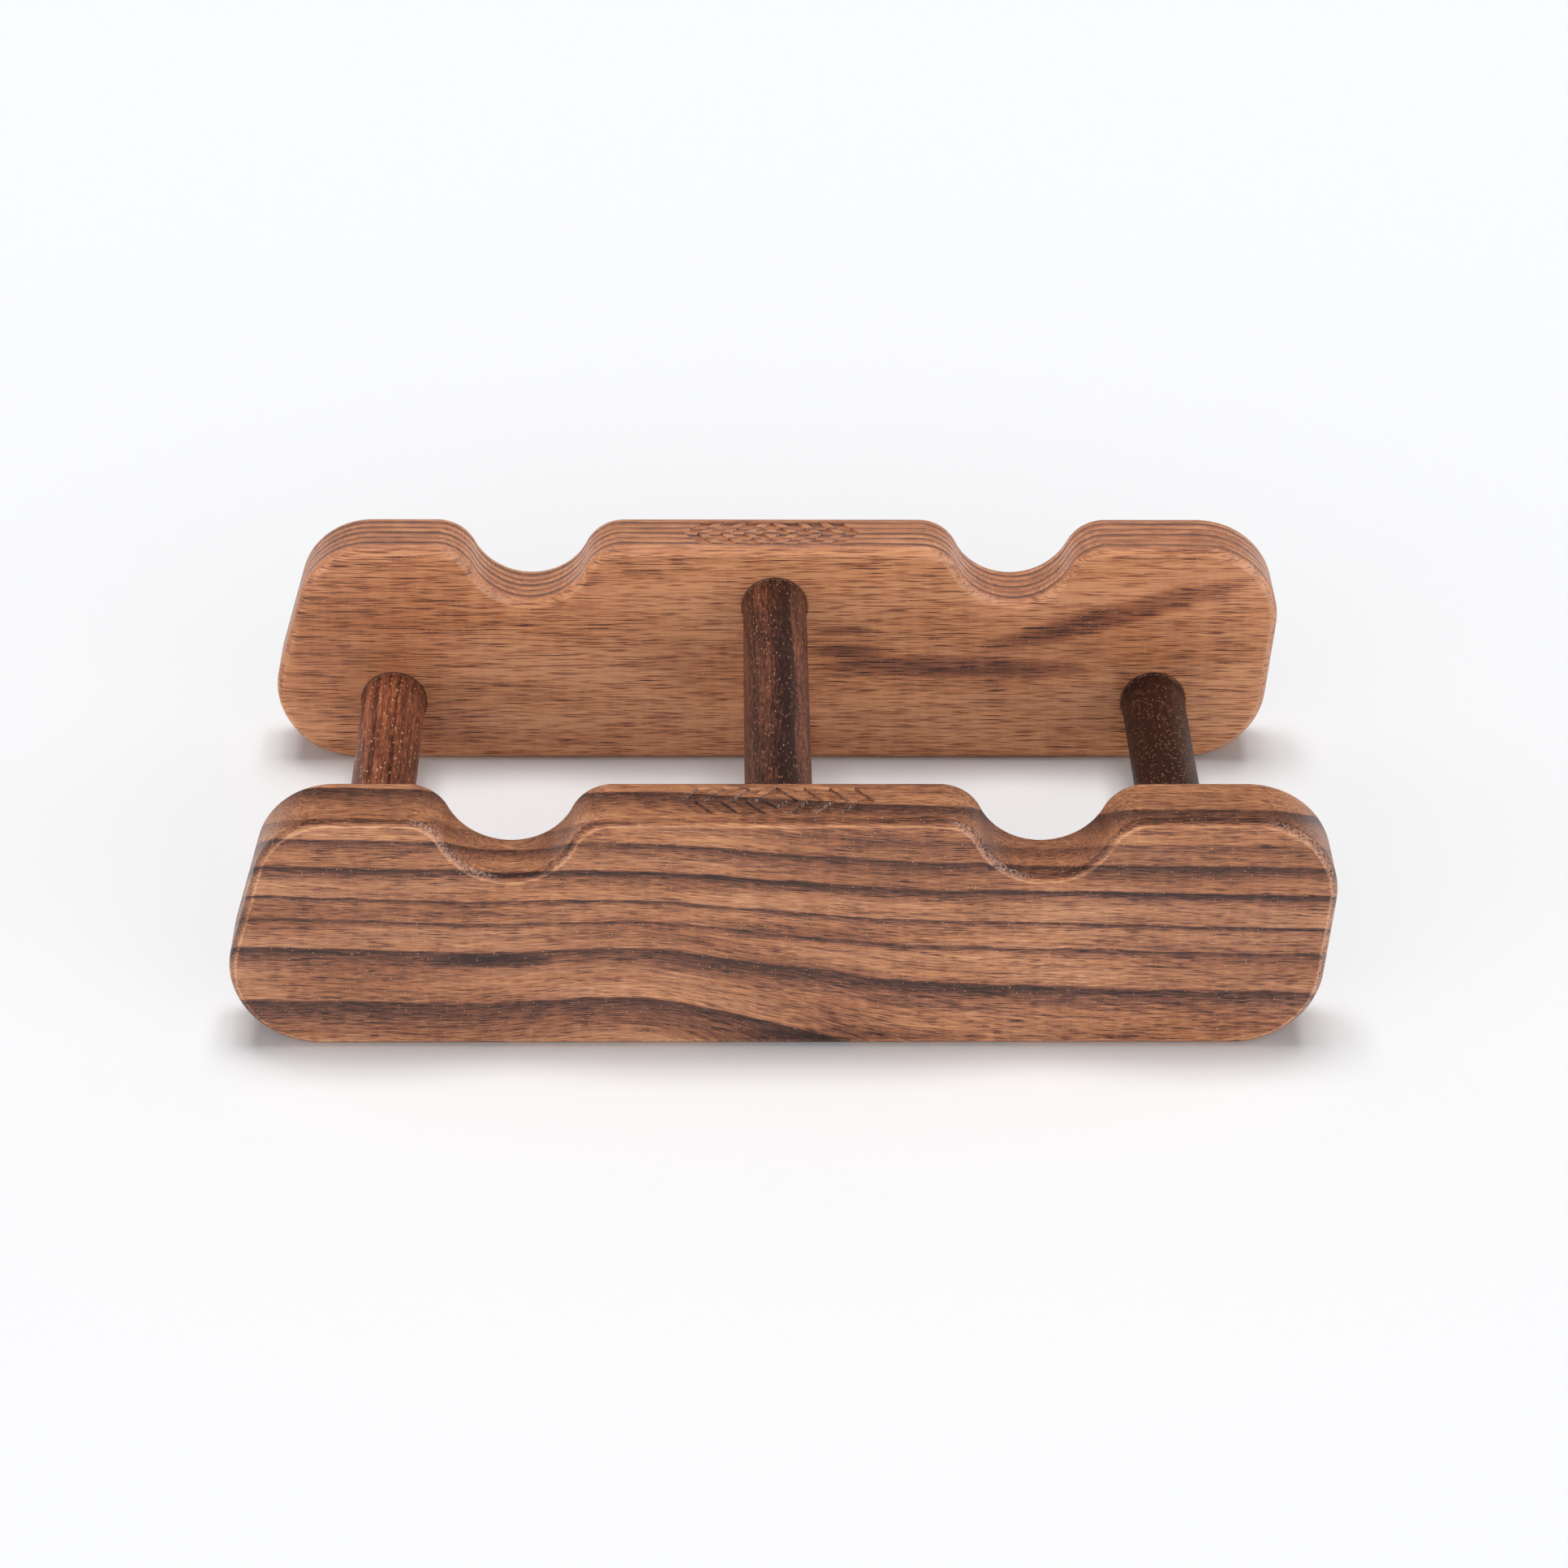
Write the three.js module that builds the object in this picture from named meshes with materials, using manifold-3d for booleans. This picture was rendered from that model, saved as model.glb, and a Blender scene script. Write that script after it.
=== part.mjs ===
// Razor stand: two shaped walnut rails that stand parallel, held apart by three round dowels.
// Razors lie across the two rails, in the round notches along their tops.
// Millimetres. +X runs along the rails, +Y from the front rail to the back rail, +Z up.
// The origin is on the surface that the rails stand on, under the middle of the stand.
import * as THREE from "three";
import { mergeVertices } from "three/addons/utils/BufferGeometryUtils.js";
import Module from "manifold-3d";

const wasm = await Module();
wasm.setup();

// Rails
const railLength = 191.6;
const railHeight = 46;
const railThickness = 14;
const railGap = 85; // clear space between the rails' inner faces
const roundOver = 2; // radius along every edge of a rail's two faces

// Ends of a rail: the left one leans in towards its top, the right one leans out
const leftLean = THREE.MathUtils.degToRad(16);
const rightLean = THREE.MathUtils.degToRad(4.8);
const lowerLeftRadius = 15.3;
const upperLeftRadius = 14;
const lowerRightRadius = 15.5;
const upperRightRadius = 15.5;

// Notches: a round seat with a rounded shoulder on each side
const leftNotchInset = 48.9; // from the rail's left end to the notch's middle
const rightNotchInset = 50.7;
const notchDepth = 11.3;
const notchRadius = 11.8;
const shoulderRadius = 8;

// Dowels, glued into blind sockets in the rails' inner faces
const dowelDiameter = 12;
const leftDowelInset = 22.5; // from the rail's left end to the dowel's axis
const rightDowelInset = 23.1;
const sideDowelHeight = 13.2; // axis above the base
const centreDowelDrop = 12.2; // axis below the top
const dowelChamfer = 1;
const socketFloor = 5; // wood left behind a socket
const socketEase = 0.4; // small chamfer round a socket's mouth
const fitGap = 0.3; // clearance round and behind a dowel, filled by glue

// Engraved band of chevrons and a lozenge, on the flat between a rail's notches
const engraveDepth = 0.5;
const ornamentBorder = 0.8; // flat wood left between the band and the round-over
const ornamentMargin = 10; // least distance from the band to a notch's shoulder
const chevronStroke = 2.4;
const chevronReach = 3.2; // how far its point runs ahead of its arms
const chevronPitch = 4.4;
const firstChevron = 2.2; // from the middle to the arms of the first one
const lozengeReach = 3.6;
const lozengeStroke = 1.7;

// Mesh resolution and the extra length of a cutter past the face that it cuts
const arcSteps = 5;
const roundOverSteps = 3;
const turnSteps = 40;
const overshoot = 1;

// Places worked out from the sizes above
const leftEnd = -railLength / 2;
const rightEnd = railLength / 2;
const leftNotchX = leftEnd + leftNotchInset;
const rightNotchX = rightEnd - rightNotchInset;
const notchCentreZ = railHeight - notchDepth + notchRadius;
const shoulderCentreZ = railHeight - shoulderRadius;
const shoulderRise = notchCentreZ - shoulderCentreZ;
const shoulderOffset = Math.sqrt((notchRadius + shoulderRadius) ** 2 - shoulderRise ** 2);
const landMiddle = (leftNotchX + rightNotchX) / 2;
const landHalfLength = (rightNotchX - leftNotchX) / 2 - shoulderOffset;
const leftDowelX = leftEnd + leftDowelInset;
const rightDowelX = rightEnd - rightDowelInset;
const centreDowelX = (leftDowelX + rightDowelX) / 2;
const socketDepth = railThickness - socketFloor;
const ornamentHalf = railThickness / 2 - roundOver - ornamentBorder;
const dowelRadius = dowelDiameter / 2;

const dowels = [
  { name: "left_dowel", x: leftDowelX, z: sideDowelHeight, color: 0x7a4a3a },
  { name: "right_dowel", x: rightDowelX, z: sideDowelHeight, color: 0x4a3029 },
  { name: "centre_dowel", x: centreDowelX, z: railHeight - centreDowelDrop, color: 0x50362d },
];

// Boolean solids

function toSolid(geometry) {
  const bare = geometry.index ? geometry.toNonIndexed() : geometry.clone();
  bare.deleteAttribute("normal");
  bare.deleteAttribute("uv");
  const merged = mergeVertices(bare, 1e-5);
  const corners = merged.index.array;
  const kept = [];
  for (let i = 0; i < corners.length; i += 3) {
    const [a, b, c] = corners.slice(i, i + 3);
    if (a !== b && b !== c && c !== a) kept.push(a, b, c);
  }
  return new wasm.Manifold(
    new wasm.Mesh({
      numProp: 3,
      vertProperties: new Float32Array(merged.attributes.position.array),
      triVerts: new Uint32Array(kept),
    }),
  );
}

function toGeometry(solid) {
  const mesh = solid.getMesh();
  const geometry = new THREE.BufferGeometry();
  geometry.setAttribute("position", new THREE.BufferAttribute(mesh.vertProperties, 3));
  geometry.setIndex(new THREE.BufferAttribute(mesh.triVerts, 1));
  geometry.computeVertexNormals();
  return geometry;
}

// Rail outline, seen from the front: x to the right, y up

function addNotch(outline, x) {
  const meet = Math.atan2(shoulderRise, shoulderOffset);
  const top = Math.PI / 2;
  outline.absarc(x + shoulderOffset, shoulderCentreZ, shoulderRadius, top, Math.PI - meet, false);
  outline.absarc(x, notchCentreZ, notchRadius, -meet, meet - Math.PI, true);
  outline.absarc(x - shoulderOffset, shoulderCentreZ, shoulderRadius, meet, top, false);
}

// Distance from the end's outermost corner centre back to its other corner's centre,
// so that one straight line leaning by that angle touches both corners
function leanBack(lean, outerRadius, innerRadius) {
  const rise = railHeight - outerRadius - innerRadius;
  return (Math.sin(lean) * rise + innerRadius - outerRadius) / Math.cos(lean);
}

function railOutline() {
  const lowerLeftX = leftEnd + lowerLeftRadius;
  const upperLeftX = lowerLeftX + leanBack(leftLean, lowerLeftRadius, upperLeftRadius);
  const upperRightX = rightEnd - upperRightRadius;
  const lowerRightX = upperRightX - leanBack(rightLean, upperRightRadius, lowerRightRadius);
  const down = -Math.PI / 2;
  const up = Math.PI / 2;
  const right = -rightLean;
  const left = Math.PI - leftLean;
  const outline = new THREE.Shape();
  outline.absarc(lowerRightX, lowerRightRadius, lowerRightRadius, down, right, false);
  outline.absarc(upperRightX, railHeight - upperRightRadius, upperRightRadius, right, up, false);
  addNotch(outline, rightNotchX);
  addNotch(outline, leftNotchX);
  outline.absarc(upperLeftX, railHeight - upperLeftRadius, upperLeftRadius, up, left, false);
  outline.absarc(lowerLeftX, lowerLeftRadius, lowerLeftRadius, left, 1.5 * Math.PI, false);
  return outline;
}

function railBlank() {
  const blank = new THREE.ExtrudeGeometry(railOutline(), {
    depth: railThickness - 2 * roundOver,
    bevelThickness: roundOver,
    bevelSize: roundOver,
    bevelOffset: -roundOver,
    bevelSegments: roundOverSteps,
    curveSegments: arcSteps,
  });
  blank.translate(0, 0, roundOver - railThickness / 2);
  blank.rotateX(Math.PI / 2);
  return blank;
}

// Cutters

function socketCutter() {
  const radius = dowelRadius + fitGap;
  const profile = [
    [0, -socketDepth],
    [radius, -socketDepth],
    [radius, -socketEase],
    [radius + socketEase + overshoot, overshoot],
    [0, overshoot],
  ];
  return new THREE.LatheGeometry(
    profile.map(([x, y]) => new THREE.Vector2(x, y)),
    turnSteps,
  );
}

function chevron(armsX, side) {
  const points = [
    [armsX, ornamentHalf],
    [armsX + chevronReach, 0],
    [armsX, -ornamentHalf],
    [armsX + chevronStroke, -ornamentHalf],
    [armsX + chevronStroke + chevronReach, 0],
    [armsX + chevronStroke, ornamentHalf],
  ];
  return new THREE.Shape(points.map(([x, y]) => new THREE.Vector2(side * x, y)));
}

function lozenge() {
  const shrink = 1 - lozengeStroke / lozengeReach;
  const corners = [
    [lozengeReach, 0],
    [0, ornamentHalf],
    [-lozengeReach, 0],
    [0, -ornamentHalf],
  ].map(([x, y]) => new THREE.Vector2(x, y));
  const ring = new THREE.Shape(corners);
  ring.holes.push(new THREE.Path(corners.map((corner) => corner.clone().multiplyScalar(shrink))));
  return ring;
}

function ornamentShapes() {
  const tip = firstChevron + chevronReach + chevronStroke;
  const room = landHalfLength - ornamentMargin - tip;
  const count = Math.max(0, Math.floor(room / chevronPitch) + 1);
  const shapes = [lozenge()];
  for (let i = 0; i < count; i += 1) {
    const armsX = firstChevron + i * chevronPitch;
    shapes.push(chevron(armsX, 1), chevron(armsX, -1));
  }
  return shapes;
}

// Pieces

function material(color) {
  return new THREE.MeshStandardMaterial({ color, roughness: 0.6, metalness: 0 });
}

// side is -1 for the front rail and 1 for the back rail
function makeRail(name, side, color) {
  let solid = toSolid(railBlank());
  for (const { x, z } of dowels) {
    const cutter = socketCutter();
    if (side > 0) cutter.rotateZ(Math.PI);
    cutter.translate(x, (-side * railThickness) / 2, z);
    solid = solid.subtract(toSolid(cutter));
  }
  for (const shape of ornamentShapes()) {
    const depth = engraveDepth + overshoot;
    const cutter = new THREE.ExtrudeGeometry(shape, { depth, bevelEnabled: false });
    cutter.translate(landMiddle, 0, railHeight - engraveDepth);
    solid = solid.subtract(toSolid(cutter));
  }
  const rail = new THREE.Mesh(toGeometry(solid), material(color));
  rail.name = name;
  rail.position.y = (side * (railGap + railThickness)) / 2;
  return rail;
}

function makeDowel({ name, x, z, color }) {
  const half = railGap / 2 + socketDepth - fitGap;
  const profile = [
    [0, -half],
    [dowelRadius - dowelChamfer, -half],
    [dowelRadius, -half + dowelChamfer],
    [dowelRadius, half - dowelChamfer],
    [dowelRadius - dowelChamfer, half],
    [0, half],
  ];
  const points = profile.map(([px, py]) => new THREE.Vector2(px, py));
  const solid = toSolid(new THREE.LatheGeometry(points, turnSteps));
  const dowel = new THREE.Mesh(toGeometry(solid), material(color));
  dowel.name = name;
  dowel.position.set(x, 0, z);
  return dowel;
}

const razorStand = new THREE.Group();
razorStand.add(makeRail("front_rail", -1, 0xa06d52));
razorStand.add(makeRail("back_rail", 1, 0xb07a57));
for (const dowel of dowels) razorStand.add(makeDowel(dowel));

export default razorStand;
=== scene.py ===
"""Razor stand in oiled walnut: two notched rails held apart by three dowels.

Laid out as a Blender add-on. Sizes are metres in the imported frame: +X runs along the rails,
+Y from the front rail to the back one, +Z up. The wood's pattern is worked out in millimetres.
"""

import math

import bmesh
import bpy
from bpy.props import FloatProperty, FloatVectorProperty, IntProperty, PointerProperty
from mathutils import Matrix, Vector


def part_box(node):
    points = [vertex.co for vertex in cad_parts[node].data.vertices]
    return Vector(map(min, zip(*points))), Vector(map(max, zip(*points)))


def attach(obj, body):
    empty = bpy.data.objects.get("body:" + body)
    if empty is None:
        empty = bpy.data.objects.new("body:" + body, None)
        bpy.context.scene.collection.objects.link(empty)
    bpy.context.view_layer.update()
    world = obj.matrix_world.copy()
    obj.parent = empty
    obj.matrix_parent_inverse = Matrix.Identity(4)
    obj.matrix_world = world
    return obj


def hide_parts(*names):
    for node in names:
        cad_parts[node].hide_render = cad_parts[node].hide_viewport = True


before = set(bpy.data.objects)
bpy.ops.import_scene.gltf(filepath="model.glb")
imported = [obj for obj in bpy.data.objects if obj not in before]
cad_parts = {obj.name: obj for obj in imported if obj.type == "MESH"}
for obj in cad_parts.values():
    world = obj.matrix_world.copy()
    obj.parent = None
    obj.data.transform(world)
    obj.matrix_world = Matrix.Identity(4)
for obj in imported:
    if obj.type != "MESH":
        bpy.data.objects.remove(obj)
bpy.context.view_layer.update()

bl_info = {
    "name": "Razor stand",
    "version": (1, 0, 0),
    "blender": (4, 5, 0),
    "location": "View3D > Sidebar > Razor stand",
    "description": "Builds a walnut razor stand round its packed frame",
    "category": "Object",
}

MM = 0.001
RAILS = ("front_rail", "back_rail")
DOWELS = ("left_dowel", "right_dowel", "centre_dowel")
ARC_STEP = math.radians(3)  # turn of a rail's outline from one point to the next
ROUND_OVER_STEPS = 8
SOCKET_SIDES = 96
OVERSHOOT = 1 * MM  # how far a cutter stands out of the face that it cuts
RELIEF = 0.10 * MM  # height of the bump between the lowest and the highest fibre
CRISP_EDGE = math.radians(30)  # edges sharper than this keep a crisp line
SEED_SHIFT = (7.31, 3.17, 5.73)  # how far a pattern moves for each step of its seed
FLOOR_HALF_SIZE = 10
SENSOR_WIDTH = 36
TOP_LIGHT_SPREAD = math.radians(12)
# How far each top light stands aside and to the back of straight overhead, in degrees
TOP_LIGHT_LEANS = tuple((aside, back) for aside in (-12, 0, 12) for back in (3, 12))


def length(name, default, description):
    """A size in metres, shown with its unit."""
    return FloatProperty(
        name=name,
        description=description,
        default=default,
        min=0,
        precision=5,
        unit="LENGTH",
        subtype="DISTANCE",
    )


def angle(name, degrees, description):
    return FloatProperty(
        name=name,
        description=description,
        default=math.radians(degrees),
        unit="ROTATION",
        subtype="ANGLE",
    )


def factor(name, default, description):
    return FloatProperty(name=name, description=description, default=default, min=0)


def colour(name, default, description):
    return FloatVectorProperty(
        name=name,
        description=description,
        default=default,
        size=3,
        min=0,
        max=1,
        subtype="COLOR",
    )


# Settings


class RailSettings(bpy.types.PropertyGroup):
    round_over: length("Round-over", 2 * MM, "Radius along the edges of a rail's two faces")
    left_lean: angle("Left lean", 16, "How far the left end leans in towards the top")
    right_lean: angle("Right lean", 4.8, "How far the right end leans out towards the top")
    lower_left: length("Lower left radius", 15.3 * MM, "Radius of that corner")
    upper_left: length("Upper left radius", 14 * MM, "Radius of that corner")
    lower_right: length("Lower right radius", 15.5 * MM, "Radius of that corner")
    upper_right: length("Upper right radius", 15.5 * MM, "Radius of that corner")
    left_notch: length("Left notch inset", 48.9 * MM, "From the left end to the notch")
    right_notch: length("Right notch inset", 50.7 * MM, "From the right end to the notch")
    notch_depth: length("Notch depth", 11.3 * MM, "From the top down to the notch's seat")
    notch_radius: length("Notch radius", 11.8 * MM, "Radius of the notch's seat")
    shoulder_radius: length("Shoulder radius", 8 * MM, "Radius beside a notch")
    socket_depth: length("Socket depth", 9 * MM, "Depth of a dowel's blind socket")
    socket_fit: length("Socket fit", 0.06 * MM, "Clearance round a dowel in its socket")
    socket_ease: length("Socket ease", 0.35 * MM, "Small chamfer round a socket's mouth")


class BandSettings(bpy.types.PropertyGroup):
    depth: length("Depth", 0.5 * MM, "How deep the band is cut")
    draft: length("Draft", 0.22 * MM, "How far the cut's walls lean out")
    border: length("Border", 0.8 * MM, "Flat wood between the band and the round-over")
    margin: length("Margin", 10 * MM, "Least distance from the band to a notch's shoulder")
    stroke: length("Stroke", 2.4 * MM, "Width of a chevron's arm along the rail")
    reach: length("Reach", 3.2 * MM, "How far a chevron's point runs ahead of its arms")
    pitch: length("Pitch", 4.4 * MM, "From one chevron to the next")
    first: length("First chevron", 2.2 * MM, "From the middle to the first chevron's arms")
    lozenge_reach: length("Lozenge reach", 3.6 * MM, "Half the length of the lozenge")
    lozenge_stroke: length("Lozenge stroke", 1.7 * MM, "Width of the lozenge's ring")


class DowelSettings(bpy.types.PropertyGroup):
    chamfer: length("Chamfer", 1 * MM, "Chamfer on a dowel's hidden ends")
    unevenness: length("Unevenness", 0.07 * MM, "How far the turned surface wanders")
    sides: IntProperty(name="Sides", description="Faces round a dowel", default=112, min=12)
    rows: IntProperty(name="Rows", description="Rings of points along a dowel", default=260, min=12)


class WoodSettings(bpy.types.PropertyGroup):
    late: colour("Latewood", (0.026, 0.0105, 0.0085), "Colour of a dark ring line")
    shade: colour("Shade", (0.128, 0.050, 0.031), "Colour of the darker heartwood")
    heart: colour("Heartwood", (0.29, 0.118, 0.061), "The commonest colour")
    gold: colour("Light heartwood", (0.48, 0.225, 0.110), "Colour of the light streaks")
    pale: colour("Palest", (0.66, 0.37, 0.20), "Colour of the lightest fibres")
    # Also the colour of the painted sheen on upward faces and of the painted highlight round the
    # dowels next to the rails.
    fuzz_and_sheen: colour("Raised fibres", (0.58, 0.37, 0.29), "Colour of fibres that stand up at edges")
    roughness: factor("Roughness", 0.44, "Roughness of the oiled surface")


class StageSettings(bpy.types.PropertyGroup):
    distance: length("Distance", 0.8282, "From the camera to the point it looks at")
    elevation: angle("Elevation", 30.71, "How far the camera looks down")
    azimuth: angle("Azimuth", 0.92, "How far the camera is turned to the right")
    roll: angle("Roll", 0.48, "How far the camera leans")
    lens: FloatProperty(name="Lens", description="Focal length in mm", default=103.74, min=1)
    aim: FloatVectorProperty(
        name="Aim",
        description="Point that the camera looks at, from the middle of the stand's base",
        default=(0.00107, -0.0014, 0.0207),
        subtype="XYZ",
        unit="LENGTH",
        precision=5,
    )
    top_strength: factor("Top lights", 0.375, "Strength of each soft light overhead")
    low_strength: factor("Low box", 3.0, "Brightness of the low softbox in front")
    high_strength: factor("High box", 0.6, "Brightness of the softbox above it")
    side_strength: factor("Side walls", 1.6, "Brightness of the pale walls at both ends")
    room_strength: factor("Room", 0.25, "Brightness of the rest of the room")
    floor: colour("Floor", (0.862, 0.868, 0.88), "Colour of the floor")


# Shader nodes


class Value:
    """A shader socket that takes part in Python arithmetic, by adding Math nodes."""

    def __init__(self, nodes, socket):
        self.nodes = nodes
        self.socket = socket

    def math(self, operation, *operands):
        settings = {"operation": operation}
        return self.nodes.add("ShaderNodeMath", settings, dict(enumerate(operands)))

    def __add__(self, other):
        return self.math("ADD", self, other)

    def __sub__(self, other):
        return self.math("SUBTRACT", self, other)

    def __rsub__(self, other):
        return self.math("SUBTRACT", other, self)

    def __mul__(self, other):
        return self.math("MULTIPLY", self, other)

    def __truediv__(self, other):
        return self.math("DIVIDE", self, other)

    __radd__ = __add__
    __rmul__ = __mul__

    def absolute(self):
        return self.math("ABSOLUTE", self)

    def at_least(self, low):
        return self.math("MAXIMUM", self, low)

    def squared(self):
        return self * self

    def step(self, low, high):
        """0 at low, 1 at high and smooth between, whichever of the two is the larger."""
        sockets = {"Value": self, "From Min": low, "From Max": high}
        return self.nodes.add("ShaderNodeMapRange", {"interpolation_type": "SMOOTHSTEP"}, sockets)


class Nodes:
    """A shader node tree under construction."""

    def __init__(self, owner):
        owner.use_nodes = True
        self.tree = owner.node_tree
        self.tree.nodes.clear()

    def node(self, kind, settings, sockets):
        """Adds a node: its settings first, then the values or links of its sockets."""
        made = self.tree.nodes.new(kind)
        for name, value in settings.items():
            if name == "stops":
                fill_ramp(made.color_ramp, value)
            else:
                setattr(made, name, value)
        for key, value in sockets.items():
            if isinstance(value, Value):
                self.tree.links.new(value.socket, made.inputs[key])
            else:
                made.inputs[key].default_value = value
        return made

    def add(self, kind, settings, sockets, output=0):
        return Value(self, self.node(kind, settings, sockets).outputs[output])

    def combine(self, x, y, z):
        return self.add("ShaderNodeCombineXYZ", {}, {0: x, 1: y, 2: z})

    def split(self, vector):
        made = self.node("ShaderNodeSeparateXYZ", {}, {0: vector})
        return [Value(self, socket) for socket in made.outputs]

    def dot(self, vector, other):
        settings = {"operation": "DOT_PRODUCT"}
        return self.add("ShaderNodeVectorMath", settings, {0: vector, 1: other}, output=1)

    def stretch(self, vector, size, seed=0.0):
        """The vector with each part divided by a size, moved to a place of the seed's own."""
        shares = tuple(1 / part for part in size)
        shift = tuple(seed * part for part in SEED_SHIFT)
        settings = {"operation": "MULTIPLY_ADD"}
        return self.add("ShaderNodeVectorMath", settings, {0: vector, 1: shares, 2: shift})

    def noise(self, vector, size, detail=2.0, roughness=0.5, seed=0.0):
        """Smooth noise about 0, its lumps as large as size says."""
        sockets = {
            "Vector": self.stretch(vector, size, seed),
            "Scale": 1.0,
            "Detail": detail,
            "Roughness": roughness,
        }
        return self.add("ShaderNodeTexNoise", {}, sockets) - 0.5

    def cells(self, vector, size, seed=0.0):
        """Distance to the nearest of a scatter of points, and a random number for each point."""
        sockets = {"Vector": self.stretch(vector, size, seed), "Scale": 1.0}
        made = self.node("ShaderNodeTexVoronoi", {}, sockets)
        chance = self.split(Value(self, made.outputs["Color"]))[0]
        return Value(self, made.outputs["Distance"]), chance

    def mix(self, share, a, b, blend="MIX"):
        """Colour a turning into colour b as share goes from 0 to 1."""
        settings = {"data_type": "RGBA", "blend_type": blend}
        return self.add("ShaderNodeMix", settings, {0: share, 6: a, 7: b}, output=2)

    def ramp(self, share, stops):
        return self.add("ShaderNodeValToRGB", {"stops": stops}, {0: share})


def fill_ramp(ramp, stops):
    while len(ramp.elements) < len(stops):
        ramp.elements.new(1)
    for element, (place, tint) in zip(ramp.elements, stops):
        element.position = place
        element.color = (*tint, 1)


def finish_material(name, build):
    """A material whose shader is what build makes with its nodes."""
    material = bpy.data.materials.new(name)
    nodes = Nodes(material)
    nodes.node("ShaderNodeOutputMaterial", {}, {"Surface": build(nodes)})
    return material


# Walnut

# Growth rings as (level, darkness, fade, middle), lengths in millimetres. A ring ends crisply
# at its level, is darkest just below, and fades out further down; middle is the share of its
# darkness that is left halfway through the fade.
CRISP = 0.3  # height of a ring's crisp upper edge
FRONT_RINGS = (
    (9.6, 0.9, 9.4, 0.45),
    (20.4, 0.9, 5.0, 0.40),
    (26.5, 0.8, 1.8, 0.35),
    (31.0, 0.9, 1.6, 0.35),
    (37.1, 1.0, 3.4, 0.30),
    (42.6, 0.8, 3.4, 0.40),
    (46.9, 0.4, 3.2, 0.50),
    (54.5, 0.9, 6.0, 0.40),
)
BACK_RINGS = tuple((2.7 + 2.1 * i, (1.0, 0.6, 1.1, 0.7)[i % 4], 1.5, 0.5) for i in range(7))

# Dark smudges on a rail as (x, z, half length, half height, slope, darkness)
FRONT_SMUDGES = (
    (-50.0, 17.8, 13.0, 1.8, 0.0, 0.30),
    (-8.0, 16.4, 24.0, 2.6, -0.08, 0.12),
    (30.0, 12.6, 26.0, 2.0, -0.02, 0.14),
    (4.0, 23.4, 24.0, 1.6, -0.16, 0.12),
    (10.0, 2.2, 26.0, 2.4, 0.0, 0.18),
    (20.0, 37.0, 90.0, 7.0, 0.0, 0.10),
    (78.0, 26.0, 34.0, 22.0, 0.0, 0.10),
    (-76.0, 26.0, 34.0, 24.0, 0.0, 0.07),
)
BACK_SMUDGES = (
    (66.0, 32.4, 34.0, 3.4, 0.30, 0.42),
    (34.0, 20.8, 32.0, 3.0, -0.02, 0.40),
    (14.0, 24.4, 10.0, 1.8, 0.0, 0.40),
    (12.0, 28.6, 7.0, 1.4, 0.0, 0.32),
    (58.0, 22.0, 40.0, 12.0, 0.1, 0.10),
    (-14.0, 20.0, 18.0, 9.0, 0.1, 0.10),
    (-20.0, 6.0, 60.0, 5.0, 0.05, 0.06),
    (76.0, 19.0, 20.0, 0.9, -0.03, 0.18),
    (-78.0, 26.0, 26.0, 26.0, 0.0, 0.17),
    (-66.0, 7.0, 22.0, 4.0, 0.0, 0.16),
    (-50.0, 17.0, 10.0, 1.2, -0.1, 0.12),
)

# Where two faces of the rails are along Y, in millimetres
FRONT_OUTER_FACE = -56.5
BACK_INNER_FACE = 42.5

# Where the painted highlight round each end of a dowel, next to a rail, begins and is strongest, in
# millimetres from the rail; it is textured like raised fibres
JOINT_HIGHLIGHT_BEGINS = 0.6
JOINT_HIGHLIGHT_FULLY = 0.25


def ring_stops(rings, low, high):
    """Stops of a ramp from level low to level high, as dark as the rings are."""
    stops = []
    for level, darkness, fade, middle in rings:
        for drop, share in ((fade, 0), (fade / 2, middle), (CRISP, 1), (0, 0)):
            stops.append(((level - drop - low) / (high - low), (darkness * share,) * 3))
    return stops


def front_level(along, across, up):
    """Rings that fall to the right, most steeply low down in the middle, and rise to the back."""
    low = (37 - up).at_least(0) / 28
    drop = along.step(-25, 28) * (low.squared() * 3.9 + 2.3)
    hump = along.step(-58, -28) * along.step(-2, -28) * (low * 1.8 + 0.4)
    return up + (along + 90) * 0.018 + drop - hump + (across - FRONT_OUTER_FACE) * 0.75


def back_level(along, across, up):
    """Rings almost parallel to the faces."""
    return across - BACK_INNER_FACE + along * 0.004 - (up - 20) * 0.012


def dowel_level(slope):
    """Rings as flat layers through a dowel, leaning by slope."""

    def level(along, across, up):
        return across + up * slope + along * 0.01

    return level


def smudged(nodes, place, smudges):
    """Sum of the smudges, each an ellipse that is darkest in the middle."""
    total = 0
    for x, z, half_length, half_height, slope, darkness in smudges:
        tilt = math.atan(slope)
        cos, sin = math.cos(tilt), math.sin(tilt)
        u = nodes.dot(place, (cos / half_length, 0, sin / half_length))
        v = nodes.dot(place, (-sin / half_height, 0, cos / half_height))
        u = u - (x * cos + z * sin) / half_length
        v = v - (z * cos - x * sin) / half_height
        total = (u.squared() + v.squared()).step(1, 0) * darkness + total
    return total


def engraved_band_mask(nodes, place, band):
    """1 in the engraved band, which is given by its middle, half length, half width and top."""
    if band is None:
        return 0
    x, y, z = nodes.split(place)
    middle_x, middle_y, half_length, half_width, top = band
    inside = (x - middle_x).absolute().step(half_length + 0.1, half_length)
    inside = inside * (y - middle_y).absolute().step(half_width + 0.4, half_width + 0.2)
    return inside * z.step(top - 0.05, top - 0.2)


def walnut(name, wood, spec):
    """Oiled walnut, solid all through: rings, fibres and pores that run along one axis."""
    return finish_material(name, lambda nodes: walnut_shader(nodes, wood, spec))


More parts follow.
